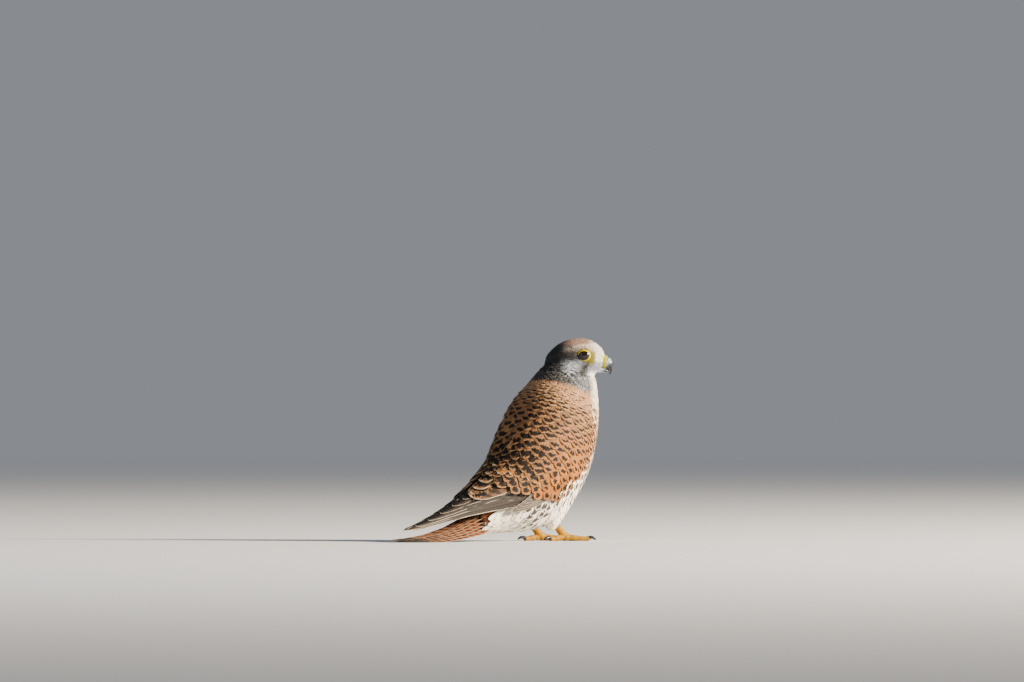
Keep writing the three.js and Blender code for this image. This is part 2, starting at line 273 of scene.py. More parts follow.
# A vane's outline: where it stops widening, the power and the height of that, then where it starts to close
# and two powers for its tip
outlines = {
    "flight": (0.12, 0.7, 0.35, 0.86, 2.4, 0.5),
    "soft": (0.35, 0.6, 0.75, 0.4, 1.9, 0.7),
    "contour": (0.3, 0.6, 0.7, 0.55, 2.1, 0.62),
}


def outlineOf(kind, u):
    riseEnd, risePower, rise, tipStart, tipPower, tipSoft = outlines[kind]
    wide = np.clip(u / riseEnd, 0, 1) ** risePower * rise + (1 - rise)
    tip = np.clip(1 - grow(u, tipStart, 1 - tipStart) ** tipPower, 0, 1) ** tipSoft
    return np.maximum(wide * tip, 0.07)


def meshObject(name, points, faces, material):
    mesh = bpy.data.meshes.new(name)
    mesh.from_pydata([tuple(p) for p in points], [], faces)
    mesh.materials.append(material)
    mesh.shade_smooth()
    mesh.update()
    return addObject(name, mesh)


def vaneFaces(rows, lanes):  # a top of rows by lanes, closed below by one row of points under the shaft
    wide = lanes + 1
    under = rows * wide
    last = (rows - 1) * wide
    faces, rim = [], []
    for r in range(rows - 1):
        for k in range(lanes):
            a = r * wide + k
            faces.append((a, a + 1, a + wide + 1, a + wide))
        left, right = r * wide, r * wide + lanes
        mid = under + r
        faces.append((left, left + wide, mid + 1, mid))
        faces.append((mid, mid + 1, right + wide, right))
        rim += [(left, left + wide), (right, right + wide)]
    faces.append(tuple(range(lanes, -1, -1)) + (under,))
    faces.append(tuple(range(last, last + wide)) + (under + rows - 1,))
    for k in range(lanes):
        rim += [(k, k + 1), (last + k, last + k + 1)]
    return faces, rim


class Tract:
    def __init__(self, name, material, rows, lanes, thick, kind="contour"):
        self.name = name
        self.material = material
        self.kind = kind
        self.rows = rows
        self.lanes = lanes
        self.thick = thick * mm
        self.stations = 1 - (1 - np.linspace(0, 1, rows)) ** 1.5  # closer together towards the tip
        self.vanes = []

    def lay(self, carrier, spine, normals, width, lift, feather, patch, share=0.5, camber=0.12, flip=False):
        u = self.stations
        v = np.linspace(-1, 1, self.lanes + 1)
        even = np.linspace(0, 1, self.rows)
        spine = np.stack([np.interp(u, even, spine[:, k]) for k in range(3)], axis=1)
        normals = unit(np.stack([np.interp(u, even, normals[:, k]) for k in range(3)], axis=1))
        outline = outlineOf(self.kind, u) * (1 + 0.04 * rng.standard_normal(self.rows))
        tangents = np.gradient(spine, u, axis=0)
        across = unit(np.cross(tangents, normals))
        half = np.where(v > 0, 1 - share, share) * width
        grid = np.zeros((self.rows, self.lanes + 1, 3))
        under = np.zeros((self.rows, 3))
        heights = lift(u)
        middle = self.lanes // 2
        for i in range(self.rows):
            for j in range(self.lanes + 1):
                q = spine[i] + across[i] * v[j] * half[j] * outline[i]
                n = normals[i]
                if carrier is not None and j != middle:
                    hit, hitNormal, _, _ = carrier.find_nearest(Vector(q))
                    q = np.array(hit)
                    n = unit(np.array(hitNormal) + 1.5 * n)
                height = heights[i] - camber * width * v[j] ** 2 * outline[i] * 0.5
                body = self.thick * (1 - 0.6 * v[j] ** 2)
                grid[i, j] = q + n * (height + body * 0.5)
                if j == middle:
                    under[i] = q + n * (height - body * 0.5)
        length = np.linalg.norm(np.diff(spine, axis=0), axis=1).sum()
        sideGap = (1 - np.abs(v)) * half * outline[:, None]
        gaps = np.stack([sideGap, np.broadcast_to((length * (1 - u))[:, None], sideGap.shape)], axis=2)
        gaps = np.concatenate([gaps.reshape(-1, 2), gaps[:, middle]])
        distance = np.concatenate([np.repeat(u, self.lanes + 1), u])[:, None] * length
        gaps = np.concatenate([gaps, distance], axis=1) / mm
        self.vanes.append((grid, under, gaps, -1 if flip else 1, feather, patch))

    def build(self):
        grids, unders, gaps, signs, feathers, patches = zip(*self.vanes)
        count = len(grids)
        wide = self.lanes + 1
        per = self.rows * wide + self.rows
        faces, rim = vaneFaces(self.rows, self.lanes)
        points = np.concatenate([np.stack(grids).reshape(count, -1, 3), np.stack(unders)], axis=1)
        allFaces = [tuple(k + i * per for k in face) for i in range(count) for face in faces]
        piece = meshObject(self.name, points.reshape(-1, 3), allFaces, self.material)
        mesh = piece.data
        uAll = np.concatenate([np.repeat(self.stations, wide), self.stations])
        vAll = np.concatenate([np.tile(np.linspace(-1, 1, wide), self.rows), np.zeros(self.rows)])

        def store(name, values, kind="FLOAT_VECTOR", field="vector"):
            layer = mesh.attributes.new(name, kind, "POINT")
            layer.data.foreach_set(field, np.ascontiguousarray(values, np.float32).reshape(-1))

        vane = np.zeros((count, per, 3))
        vane[:, :, 0] = uAll
        vane[:, :, 1] = vAll * np.array(signs)[:, None]
        vane[:, :, 2] = (rng.random(count) * 40)[:, None]
        store("vane", vane)
        store("gaps", np.stack(gaps))
        for key in ("markAlong", "markAcross", "markEdge"):
            values = np.array([feather[key] for feather in feathers], float)
            store(key, np.repeat(values[:, None, :], per, axis=1))
        for key in ("ground", "edge"):
            values = np.array([[*feather[key], 1] for feather in feathers], float)
            store(key, np.repeat(values[:, None, :], per, axis=1), "FLOAT_COLOR", "color")
        ends = np.zeros(len(mesh.edges) * 2, np.int32)
        mesh.edges.foreach_get("vertices", ends)
        ends = np.sort(ends.reshape(-1, 2) % per, axis=1)
        marked = np.zeros((per, per), bool)
        for a, b in rim:
            marked[a, b] = True
        sharp = mesh.attributes.new("sharp_edge", "BOOLEAN", "EDGE")
        sharp.data.foreach_set("value", marked[ends[:, 0], ends[:, 1]])
        # Every vane is a small patch of the unwrapped coat, at its root's place
        loops = np.zeros(len(mesh.loops), np.int32)
        mesh.loops.foreach_get("vertex_index", loops)
        local = loops % per
        roots = np.array(patches)[loops // per]
        uv = roots + patchSize * np.stack([uAll[local] - 0.5, vAll[local] / 2], axis=1)
        mesh.uv_layers.new(name="OFBake").data.foreach_set("uv", uv.astype(np.float32).reshape(-1))
        for grid, feather in zip(grids, feathers):
            groundSamples.append((grid[0, wide // 2], feather["ground"]))
        return piece


patchSize = 0.003  # of the whole unwrapped coat
groundSamples = []  # where feathers are rooted and their ground colour, for the skin beneath


# Axis of the body from the skull down the back and out along the folded wings: forward and up, in mm
axisPoints = [
    (27, 188), (24, 172), (20, 155), (15, 142), (8, 125), (-2, 103), (-12, 82), (-25, 63), (-43, 48),
    (-66, 37), (-92, 28), (-118, 21), (-143, 15.5), (-163, 11.5), (-181, 9.2), (-199, 8),
]


def smoothLine(points, per=12):  # a smooth curve through all but the two end points
    p = np.array(points, float)
    out = []
    for i in range(1, len(p) - 2):
        a, b, c, d = p[i - 1 : i + 3]
        square = 2 * a - 5 * b + 4 * c - d
        cube = 3 * b - a - 3 * c + d
        for t in np.linspace(0, 1, per, endpoint=False):
            out.append(0.5 * (2 * b + (c - a) * t + square * t**2 + cube * t**3))
    out.append(p[-2])
    return np.array(out)


axis = smoothLine(axisPoints)
axisLength = np.concatenate([[0], np.cumsum(np.linalg.norm(np.diff(axis, axis=0), axis=1))])
axisSlope = np.gradient(axis, axisLength, axis=0)


def axisAt(s):
    f, up = (np.interp(s, axisLength, axis[:, k]) for k in (0, 1))
    df, du = (np.interp(s, axisLength, axisSlope[:, k]) for k in (0, 1))
    size = math.hypot(df, du)
    tailward = Vector((0, -df / size, du / size))
    back = Vector((0, -tailward.z, tailward.y))
    if back.z < 0:
        back.negate()
    return place(f, 0, up), tailward, back


def onSurface(carrier, s, theta):  # s in mm down the axis, theta in degrees from the middle of the back
    centre, tailward, back = axisAt(s)
    angle = math.radians(theta)
    way = back * math.cos(angle) + Vector((-math.sin(angle), 0, 0))
    far = 0.09
    hit, normal, _, _ = carrier.ray_cast(centre + way * far, -way, far * 1.4)
    if hit is None:
        hit, normal, _, _ = carrier.find_nearest(centre + way * 0.03)
    if normal.dot(way) < 0:
        normal = -normal
    return hit, normal, tailward


# Head directions, from the eyes
headTilt = math.radians(2)
eyeCentre = {side: boxMiddle("eye_" + side) for side in sides}
headLeft = (eyeCentre["left"] - eyeCentre["right"]).normalized()
levelAhead = headLeft.cross(Vector((0, 0, 1)))
headAhead = levelAhead * math.cos(headTilt) - Vector((0, 0, math.sin(headTilt)))
headUp = levelAhead * math.sin(headTilt) + Vector((0, 0, math.cos(headTilt)))
eyeAlong, eyeUp = 4.8, 3.9
headMiddle = (eyeCentre["left"] + eyeCentre["right"]) / 2 - headAhead * eyeAlong * mm - headUp * eyeUp * mm


def headPoint(along, side, up):
    return headMiddle + (headAhead * along + headLeft * side + headUp * up) * mm


def headCoords(p):
    q = Vector(p) - headMiddle
    return q.dot(headAhead) / mm, q.dot(headLeft) / mm, q.dot(headUp) / mm


# Skin: copies of the flesh solids, eyes and cere made one, smoothed, and drawn in by the depth of the coat
skinStyle = {
    "voxel": 1.5, "smoothing": 14, "bodyCoat": 3.0, "wingCoat": 4.2, "headCoat": 1.4, "faceCoat": 0.5,
    "legCoat": 1.8, "wingCut": 140, "bridge": 4.0, "backSmoothing": 45,
}
fleshNodes = ["head", "neck", "trunk", "thigh_left", "thigh_right", "wing_left", "wing_right"]


def meshData(name, mesh):
    data = bpy.data.meshes.new(name)
    mesh.to_mesh(data)
    mesh.free()
    return data


def shortened(node):  # the folded wing's front part alone: behind it there are only feathers
    mesh = bmesh.new()
    mesh.from_mesh(nodes[node].data)
    bmesh.ops.remove_doubles(mesh, verts=mesh.verts, dist=1e-6)
    centre, tailward, _ = axisAt(skinStyle["wingCut"])
    everything = [*mesh.verts, *mesh.edges, *mesh.faces]
    bmesh.ops.bisect_plane(mesh, geom=everything, plane_co=centre, plane_no=tailward, clear_outer=True)
    bmesh.ops.holes_fill(mesh, edges=mesh.edges, sides=0)
    return meshData("short_wing", mesh)


def mergedCopy(names, cutWings):
    mesh = bmesh.new()
    for name in names:
        cut = cutWings and name.startswith("wing_")
        mesh.from_mesh(shortened(name) if cut else nodes[name].data)
    bmesh.ops.remove_doubles(mesh, verts=mesh.verts, dist=1e-6)
    return meshData("copy", mesh)


def displace(piece, name, depth):
    modifier = piece.modifiers.new(name, "DISPLACE")
    modifier.strength = depth * mm
    modifier.mid_level = 0


def applied(piece):  # the plain mesh that the modifiers made
    made = bpy.data.meshes.new_from_object(piece.evaluated_get(bpy.context.evaluated_depsgraph_get()))
    piece.modifiers.clear()
    piece.data = made
    made.name = piece.name
    return made


def remeshed(name, names, voxel, smoothing, material, inflate=0.0, cutWings=False, bridge=0.0):
    piece = addObject(name, mergedCopy(names, cutWings))
    if inflate or bridge:
        displace(piece, "swell", inflate + bridge)
    melt = piece.modifiers.new("melt", "REMESH")
    melt.mode = "VOXEL"
    melt.voxel_size = voxel * mm
    if bridge:  # narrow gaps have closed by now, so the surface comes back
        displace(piece, "shrink", -bridge)
    soften = piece.modifiers.new("soften", "SMOOTH")
    soften.factor = 0.6
    soften.iterations = smoothing
    made = applied(piece)
    made.materials.clear()
    made.materials.append(material)
    made.shade_smooth()
    return piece


def readVertices(mesh, field):
    values = np.zeros(len(mesh.vertices) * 3, np.float32)
    mesh.vertices.foreach_get(field, values)
    return values.reshape(-1, 3).astype(float)


def writePoints(mesh, points):
    mesh.vertices.foreach_set("co", points.reshape(-1))
    mesh.update()


def liftToFloor(mesh):
    points = readVertices(mesh, "co")
    points[:, 2] = np.maximum(points[:, 2], 0)
    writePoints(mesh, points)


def treeOf(*meshes):
    verts, faces = [], []
    for mesh in meshes:
        start = len(verts)
        verts += [v.co.copy() for v in mesh.vertices]
        faces += [[start + i for i in face.vertices] for face in mesh.polygons]
    return BVHTree.FromPolygons(verts, faces)


def skinMaterial():
    material, tree, shader = newMaterial("under_down")
    grain = noise(tree, objectPlace(tree), 900.0, 3.0)
    shade = ramp(tree, grain, 0.3, 0.7, 0.6, 0.95)
    dress(tree, shader, shaded(tree, attribute(tree, "ground", "Color"), shade), 0.9)
    bump(tree, shader, grain, 0.5, 0.0006)
    return material


skinSource = [*fleshNodes, "eye_left", "eye_right", "cere"]
underDown = skinMaterial()
bodyNodes = [name for name in skinSource if not name.startswith("wing_")]


def carrierOf(names, smoothing, bridge=0.0):  # the coat's outer surface: feathers are laid under it
    coat = remeshed("coat", names, skinStyle["voxel"], smoothing, underDown, bridge=bridge)
    tree = treeOf(coat.data, nodes["tail"].data)
    bpy.data.objects.remove(coat)
    return tree


coatTree = carrierOf(skinSource, skinStyle["smoothing"])
backTree = carrierOf(skinSource, skinStyle["backSmoothing"], skinStyle["bridge"])
bodyTree = carrierOf(bodyNodes, skinStyle["smoothing"])
skin = remeshed("skin", skinSource, skinStyle["voxel"], skinStyle["smoothing"], underDown, cutWings=True)
cereTree = treeOf(nodes["cere"].data, nodes["lower_bill"].data, nodes["upper_bill"].data)


def coatDepth(points):
    depth = np.full(len(points), skinStyle["bodyCoat"])
    fromHead = (points - np.array(headMiddle)) / mm
    near = grow(fromHead @ np.array(headUp), -30, 18)
    back = (points[:, 1] - footY) / mm
    height = points[:, 2] / mm
    zones = (
        ("headCoat", near),
        ("faceCoat", grow(fromHead @ np.array(headAhead), 8, 12) * near),
        ("wingCoat", grow(back, 20, 25) * grow(height, 14, 8)),
        ("legCoat", grow(height, 40, -20) * (back < 30)),
    )
    for name, share in zones:
        depth += (skinStyle[name] - depth) * share
    return depth * mm


points = readVertices(skin.data, "co")
writePoints(skin.data, points - readVertices(skin.data, "normal") * coatDepth(points)[:, None])
print("skin", len(skin.data.polygons))


# A feather's colours and dark marks. Where a mark is along the vane, its half length and how far apart it
# repeats; how far across it reaches, how it bends and how wide the shaft's streak is; then the pale edge's
# width in mm, how dark the marks are, and the length in mm of a dark band at the tip.
def look(ground, edge, centre=0.8, half=0.08, repeat=9.0, reach=0.7, bend=0.1, streak=0.001, fringe=0.4,
         strength=1.0, band=0.0):
    return {
        "ground": np.clip(ground, 0, 1),
        "edge": np.clip(edge, 0, 1),
        "markAlong": (centre, half, repeat),
        "markAcross": (max(reach, 0.01), bend, max(streak, 0.002)),
        "markEdge": (fringe, strength, band),
    }


def laidSpine(carrier, root, heading, length, rows):  # walks over the surface, keeping its heading
    step = length / (rows - 1)
    hit, normal, _, _ = carrier.find_nearest(root)
    spine, normals = [], []
    for _ in range(rows):
        heading = (heading - normal * heading.dot(normal)).normalized()
        spine.append(hit)
        normals.append(normal)
        hit, ahead, _, _ = carrier.find_nearest(hit + heading * step)
        normal = (normal + ahead * 1.5).normalized()
    return np.array(spine), np.array(normals)


# Columns of roots down the body, each half a step off the last
def fanRoots(thetas, start, stop, spacing, jitter=0.16):
    roots = []
    for k, theta in enumerate(thetas):
        s = start(theta) + (k % 2) * spacing(start(theta), theta) / 2
        while s < stop(theta):
            step = spacing(s, theta)
            roots.append((s + jitter * step * rng.uniform(-1, 1), theta + rng.uniform(-1.3, 1.3), step))
            s += step
    return sorted(roots)


def tint(colour, amount=0.06):
    return colour * (1 + amount * rng.standard_normal()) * (1 + 0.03 * rng.standard_normal(3))


def mixed(a, b, share):
    return a + (b - a) * np.clip(share, 0, 1)


def patchAt(x, y):  # a place on the unwrapped coat, clear of its edges
    return 0.02 + 0.96 * x, 0.02 + 0.96 * y


foldLimit = 0.72  # least cosine between the surface's direction at a feather's root and along it


def layBody(carrier, tract, s, theta, length, width, lift, feather):
    root, normal, tailward = onSurface(carrier, s, theta)
    sideways = normal.cross(tailward)
    heading = tailward + sideways * math.tan(math.radians(rng.uniform(-4, 4)))
    spine, normals = laidSpine(carrier, root, heading, length * mm, tract.rows)
    if (normals @ normals[0]).min() < foldLimit:  # a fold in the surface would crumple it
        return
    low, high = lift
    rise = lambda u: (low + (high - low) * u**1.1) * mm
    patch = patchAt(np.clip(s / 300, 0, 1), (theta + 180) / 360)
    tract.lay(carrier, spine, normals, width * mm, rise, feather, patch, camber=0.1)


# Edge of the chestnut upperparts: mm down the axis, and degrees from the middle of the back
wingEdge = ([20, 38, 55, 74, 97, 120, 144, 170], [100, 131, 139, 137, 127, 118, 112, 108])

# Back, scapulars and wing coverts
mantle = {
    "step": 9.0, "from": 29, "length": 2.15, "width": 2.1,
    "neck": paint("ab835d"), "middle": paint("865e3b"), "covert": paint("985e26"), "edge": paint("c6a47c"),
    "radius": ([30, 60, 97, 140, 170], [30, 39, 46, 42, 36]),
    "backSpacing": ([30, 60, 100, 140, 170], [6.2, 8.8, 11.8, 13.5, 14]),
    "sideSpacing": ([30, 60, 100, 140, 170], [5.8, 7.4, 9.4, 10.8, 11]),
}


def mantleSpacing(s, theta):
    back, side = curve(s, mantle["backSpacing"]), curve(s, mantle["sideSpacing"])
    return float(mixed(back, side, (abs(theta) - 35) / 60))


def layMantle():
    tract = Tract("mantle_and_coverts", chestnutPlumage, rows=10, lanes=6, thick=0.2)
    angles = np.arange(-14, 14.1) * mantle["step"]
    start = lambda theta: mantle["from"] + 0.05 * abs(theta)
    stop = lambda theta: 152 - 28 * grow(abs(theta), 60, 45)
    for s, theta, step in fanRoots(angles, start, stop, mantleSpacing):
        if abs(theta) > curve(s, wingEdge) + 1:
            continue
        width = curve(s, mantle["radius"]) * math.radians(mantle["step"]) * mantle["width"]
        length = step * mantle["length"]
        covert = grow(abs(theta), 60, 25) * grow(s, 60, 30)
        ground = mixed(mantle["neck"], mantle["middle"], (s - 30) / 24)
        ground = mixed(ground, mantle["covert"], covert)
        size = rng.uniform(0.75, 1.2)
        back = grow(abs(theta), 75, -40)
        lowBack = grow(s, 40, 60) * back
        feather = look(
            tint(ground, 0.08), tint(mixed(ground, mantle["edge"], 0.35), 0.03), centre=0.82 - 0.02 * back,
            half=(0.08 + 0.075 * lowBack + 0.03 * covert) * size,
            reach=(0.82 + 0.2 * lowBack - 0.3 * covert) * rng.uniform(0.85, 1.1), bend=0.08 - 0.07 * covert,
            fringe=0.35, strength=0.97,
        )
        layBody(backTree, tract, s, theta, length, width, (-2.2, 0.35 + 0.1 * back), feather)
    return tract.build()


# Breast, belly, flanks and the underside back over the root of the tail
breast = {
    "step": 8.0, "length": 3.0, "width": 2.3,
    "cream": paint("f6ebd8"), "buff": paint("bf8250"), "edge": paint("fbf6ec"),
    "radius": ([30, 60, 97, 140, 170, 210], [30, 40, 45, 38, 28, 18]),
    "spacing": ([30, 80, 140, 200], [4.8, 7.2, 8.6, 8]),
}


def layBreast():
    tract = Tract("breast_and_belly", palePlumage, kind="soft", rows=8, lanes=4, thick=0.18)
    angles = np.arange(86, 275, breast["step"])
    spacing = lambda s, theta: curve(s, breast["spacing"])
    stop = lambda theta: 219 - 0.2 * abs(180 - theta)
    for s, theta, step in fanRoots(angles, lambda theta: 30, stop, spacing):
        side = 360 - theta if theta > 180 else theta
        if side < curve(s, wingEdge) - 5 or (s > 192 and side < 152):
            continue
        theta = theta - 360 if theta > 180 else theta
        width = curve(s, breast["radius"]) * math.radians(breast["step"]) * breast["width"] + 1
        length = step * breast["length"]
        high = grow(s, 90, -40)
        flank = grow(side, 174, -24)
        beside = grow(side, 168, -25) * grow(s, 95, -20)
        ground = mixed(breast["cream"], breast["buff"], 0.2 * high + 0.85 * beside)
        marked = grow(s, 172, -30)
        spotted = rng.random() < 0.42 + 0.4 * flank
        feather = look(
            tint(ground, 0.03), tint(mixed(breast["edge"], ground, 0.6 * beside), 0.02), centre=0.84,
            half=(0.1 + 0.06 * flank) * rng.uniform(0.75, 1.3), reach=0.36 + 0.36 * flank, bend=-0.08,
            streak=0.14 * high + 0.001, fringe=0.5, strength=marked * (0.95 if spotted else 0.1),
        )
        layBody(coatTree if s < 118 else bodyTree, tract, s, theta, length, width, (-2.7, -0.1), feather)
    return tract.build()


# Neck, all the way round
# The back of the neck's tint is the bird's own dark grey, darkened to near black with painted shade because
# that side faces away from the light
neck = {
    "step": 5.0, "length": 3.4, "width": 2.3, "back": paint("181b20"), "grey": paint("585b60"),
    "side": paint("a67650"), "front": paint("f8ecd8"), "buff": paint("dcb88e"), "edge": paint("ead9c2"),
    "radius": ([5, 30, 45], [20, 27, 35]), "spacing": ([10, 45], [2.4, 4.0]),
}


def layNeck():
    tract = Tract("neck_feathers", chestnutPlumage, kind="soft", rows=7, lanes=2, thick=0.14)
    angles = np.arange(-36, 36) * neck["step"]
    spacing = lambda s, theta: curve(s, neck["spacing"])
    stop = lambda theta: 36 + 0.1 * abs(theta)
    for s, theta, step in fanRoots(angles, lambda theta: 17, stop, spacing, 0.3):
        side = abs(theta)
        width = curve(s, neck["radius"]) * math.radians(neck["step"]) * neck["width"]
        length = step * neck["length"]
        # Painted shade on the bird's own grey: darkest at the back of the neck, away from the light, then
        # grey towards the sides
        ground = mixed(neck["back"], neck["grey"], (side - 45) / 50)
        ground = mixed(ground, neck["side"], (s - 27.5 + 0.03 * side) / 3.5)
        ground = mixed(ground, neck["front"], (side - 104) / 24)
        ground = mixed(ground, neck["buff"], (s - 33) / 12 * (side > 100))
        ground, edge = tint(ground, 0.08), tint(mixed(ground, neck["edge"], 0.35), 0.03)
        streak = (0.24 if side < 125 else 0.16) * rng.uniform(0.6, 1.3)
        if side < 125:
            strength = rng.uniform(0.2, 0.5)
        else:
            strength = 0.6 if side < 155 and rng.random() < 0.6 else 0.05
        feather = look(
            ground, edge, centre=0.86, half=0.05, reach=0.2, streak=streak, fringe=0.3, strength=strength
        )
        layBody(coatTree, tract, s, theta, length, width, (-1.6, -0.2), feather)
    return tract.build()


# Head: rings of small feathers from the bill back to the nape
face = {
    "column": 0.34, "ring": 0.3, "width": 0.6, "clear": 5.3,
    "radius": ([-31, -22, -4, 13, 18, 24], [9, 17, 20, 16, 12, 6]),
    "size": ([-30, -10, 5, 12, 18, 24], [6.2, 5.4, 4.4, 3.5, 2.9, 2.5]),
    "sink": ([-20, 10, 22], [1.5, 1.0, 0.6]),
}
# The nape's tint is the bird's own dark grey, darkened to near black with painted shade because the back of
# the head faces away from the light
headTints = {
    "crown": paint("9a7a66"), "forehead": paint("efe3cf"), "nape": paint("14171c"), "cheek": paint("868b91"),
    "throat": paint("f8f0e2"), "moustache": paint("231f1e"), "lores": paint("665e00"),
    "brow": paint("ead9c2"), "edge": paint("f2eae0"),
}
headPlumage = plumage("head_plumage", paint("2c2726"), 0.85, 0.5)


def bell(value, width):  # 1 at 0, and falling away to both sides
    return math.exp(-((value / width) ** 2))


def headLook(along, side, up):
    # Painted shade on the bird's own grey nape: darkest at the back of the head, away from the light, paler
    # forward and up to the crown
    ground = mixed(headTints["nape"], headTints["crown"], (along + 12) / 15 + (up - 9) / 12 - 0.35)
    ground = mixed(ground, headTints["forehead"], (along - 11) / 7)
    cheek = grow(up, 1, -4) * grow(along, -14, 9)
    ground = mixed(ground, headTints["cheek"], cheek)
    throat = grow(up, -8, -4) * grow(abs(side), 15, -4) * grow(along, -8, 8)
    ground = mixed(ground, headTints["throat"], throat)
    streak = mixed(0.34, 0.24, cheek)
    strength = mixed(mixed(1.0, 0.62, cheek), 0, throat)
    # Thin line behind the eye, a pale brow over it, and a dark stripe down from the eye
    downEye = eyeUp - up
    behind = eyeAlong - along
    stripe = bell(along - (15 - 0.6 * downEye), 4.2) * grow(downEye, 3.5, 2) * grow(downEye, 24, -6)
    stripe = stripe * (abs(side) > 6)
    line = bell(up - eyeUp - 2.5 + 0.22 * behind, 1.4) * grow(behind, 3, 3) * grow(behind, 20, -6)
    brow = bell(up - eyeUp - 7.5 + 0.12 * behind, 2.2) * grow(behind, 16, -6)
    ground = mixed(ground, headTints["brow"], 0.5 * brow)
    ground = mixed(ground, headTints["moustache"], max(0.97 * stripe, 0.9 * line))
    # Yellow lores, between the eye and the bill
    bare = grow(along, 9, 2) * grow(along, 18.5, -2) * grow(abs(up - 2.5), 7, -3)
    ground = mixed(ground, headTints["lores"], 0.95 * bare)
    strength = strength * (1 - bare)
    edge = mixed(ground, headTints["edge"], 0.15 * (1 - bare))
    return look(
        tint(ground, 0.06 + 0.16 * (1 - throat) * (1 - bare)), edge, centre=0.85, half=0.04, reach=0.15,
        streak=streak * rng.uniform(0.5, 1.4), fringe=0.12, strength=strength * rng.uniform(0.5, 1.3),
    )


def layHead():
    tract = Tract("head_feathers", headPlumage, kind="soft", rows=6, lanes=2, thick=0.08)
    ringAt = 23.5
    index = 0
    while ringAt > -33:
        radius = curve(ringAt, face["radius"])
        size = curve(ringAt, face["size"])
        count = int(2 * math.pi * radius / (face["column"] * size))
        for k in range(count):
            turn = 2 * math.pi * (k + 0.5 * (index % 2) + rng.uniform(-0.2, 0.2)) / count
            way = headUp * math.cos(turn) + headLeft * math.sin(turn)
            origin = headPoint(ringAt + rng.uniform(-0.25, 0.25) * size * face["ring"], 0, 0)
            hit, _, _, _ = coatTree.ray_cast(origin + way * 0.04, -way, 0.06)
            if hit is None or cereTree.find_nearest(hit)[3] < 1.3 * mm:
                continue
            along, side, up = headCoords(hit)
            if up < -19 and along < 0:
                continue
            ahead, over = along - eyeAlong, up - eyeUp
            fromEye = math.hypot(ahead, over)
            clear = face["clear"] * (1 + 0.3 * max(0, ahead / max(fromEye, 0.1)) ** 3)
            if fromEye < clear:
                continue
            length = min(size, 1.7 + 0.4 * (fromEye - clear)) if abs(side) > 8 else size
            heading = -headAhead - headUp * 0.12
            if up < -8:
                heading = heading - headUp * 0.35
            if fromEye < 12:
                away = headAhead * ahead + headUp * over
                heading = heading + away.normalized() * (12 - fromEye) * 0.1
            spine, normals = laidSpine(coatTree, hit, heading, length * mm, tract.rows)
            low = -curve(along, face["sink"])
            high = -0.05 + 0.9 * bell(over - 7, 2) * (abs(ahead + 1) < 7) * (abs(side) > 6)
            rise = lambda u: (low + (high - low) * u) * mm
            patch = patchAt((ringAt + 34) / 60, k / count)
            feather = headLook(along, side, up)
            tract.lay(coatTree, spine, normals, length * face["width"] * mm, rise, feather, patch)
        index += 1
        ringAt -= face["ring"] * size
    return tract.build()


# Trousers: soft feathers down each thigh
trousers = {
    "columns": 18, "rows": 10, "top": 50, "bottom": 12, "white": paint("f8f0e2"), "warm": paint("efdcbe"),
}


def thighLine(sign, up):
    forward = np.interp(up, [10, 16, 25, 38, 52], [-16.5, -15, -12, -5, 2])
    share = np.interp(up, [25, 38, 52], [1, 0.92, 0.82])
    return place(forward, sign * 17 * share, up)


def layTrousers():
    tract = Tract("trousers", palePlumage, kind="soft", rows=7, lanes=4, thick=0.2)
    columns, rows = trousers["columns"], trousers["rows"]
    rise = lambda u: (-1.8 + 1.8 * u) * mm
    for sign in (1, -1):
        for row, up in enumerate(np.linspace(trousers["top"], trousers["bottom"], rows)):
            centre = thighLine(sign, up)
            down = (thighLine(sign, up - 3) - thighLine(sign, up + 3)).normalized()
            ahead = Vector((0, -1, 0))
            ahead = (ahead - down * ahead.dot(down)).normalized()
            sideways = down.cross(ahead)
            for k in range(columns):
                turn = 2 * math.pi * (k + 0.5 * (row % 2) + rng.uniform(-0.2, 0.2)) / columns
                way = ahead * math.cos(turn) + sideways * math.sin(turn)
                hit, _, _, _ = coatTree.ray_cast(centre + way * 0.024, -way, 0.024)
                if hit is None or not 0.0012 <= (hit - centre).length <= 0.02:
                    continue
                length = (13 if up > 20 else 8.5) * rng.uniform(0.85, 1.15)
                width = 5.5 if up > 24 else 4.4
                spine, normals = laidSpine(coatTree, hit, down, length * mm, tract.rows)
                ground = tint(mixed(trousers["warm"], trousers["white"], rng.random()), 0.03)
                feather = look(ground, trousers["white"], strength=0.0)
                patch = (0.02 + 0.47 * (sign > 0) + 0.45 * row / rows, 0.02 + 0.96 * k / columns)
                tract.lay(coatTree, spine, normals, width * mm, rise, feather, patch)
    return tract.build()


pieces = {"skin": skin}
makers = {"mantle": layMantle, "breast": layBreast, "neck": layNeck, "head": layHead, "trousers": layTrousers}
for name, make in makers.items():
    pieces[name] = make()
    print(name, len(pieces[name].data.polygons))


# Wing quills: each follows a line on the folded wing, given as a distance down the body and a share of the
# wing's height up from its lower edge. The wing's edges are in degrees from the middle of the back.
wingStations = [38, 55, 74, 97, 120, 144, 170, 197, 224, 250, 270, 282, 290]
wingShape = {
    "upper": [46, 28, 19, 13, 9, 7, 6, 6, 7, 9, 12, 16, 22],
    "lower": [92, 106, 113, 116, 117, 113, 110, 106, 102, 100, 98, 94, 88],
    "radius": [37, 42, 45, 46, 45, 40, 33, 25, 18, 12, 8.5, 6.5, 4],
}
wingTrees = {
    side: treeOf(nodes["wing_" + side].data, nodes["primaries_" + side].data) for side in sides
}


def wingAt(s):
    upper, lower, radius = (curve(s, (wingStations, wingShape[key])) for key in ("upper", "lower", "radius"))
    return upper, lower, radius * math.radians(lower - upper)


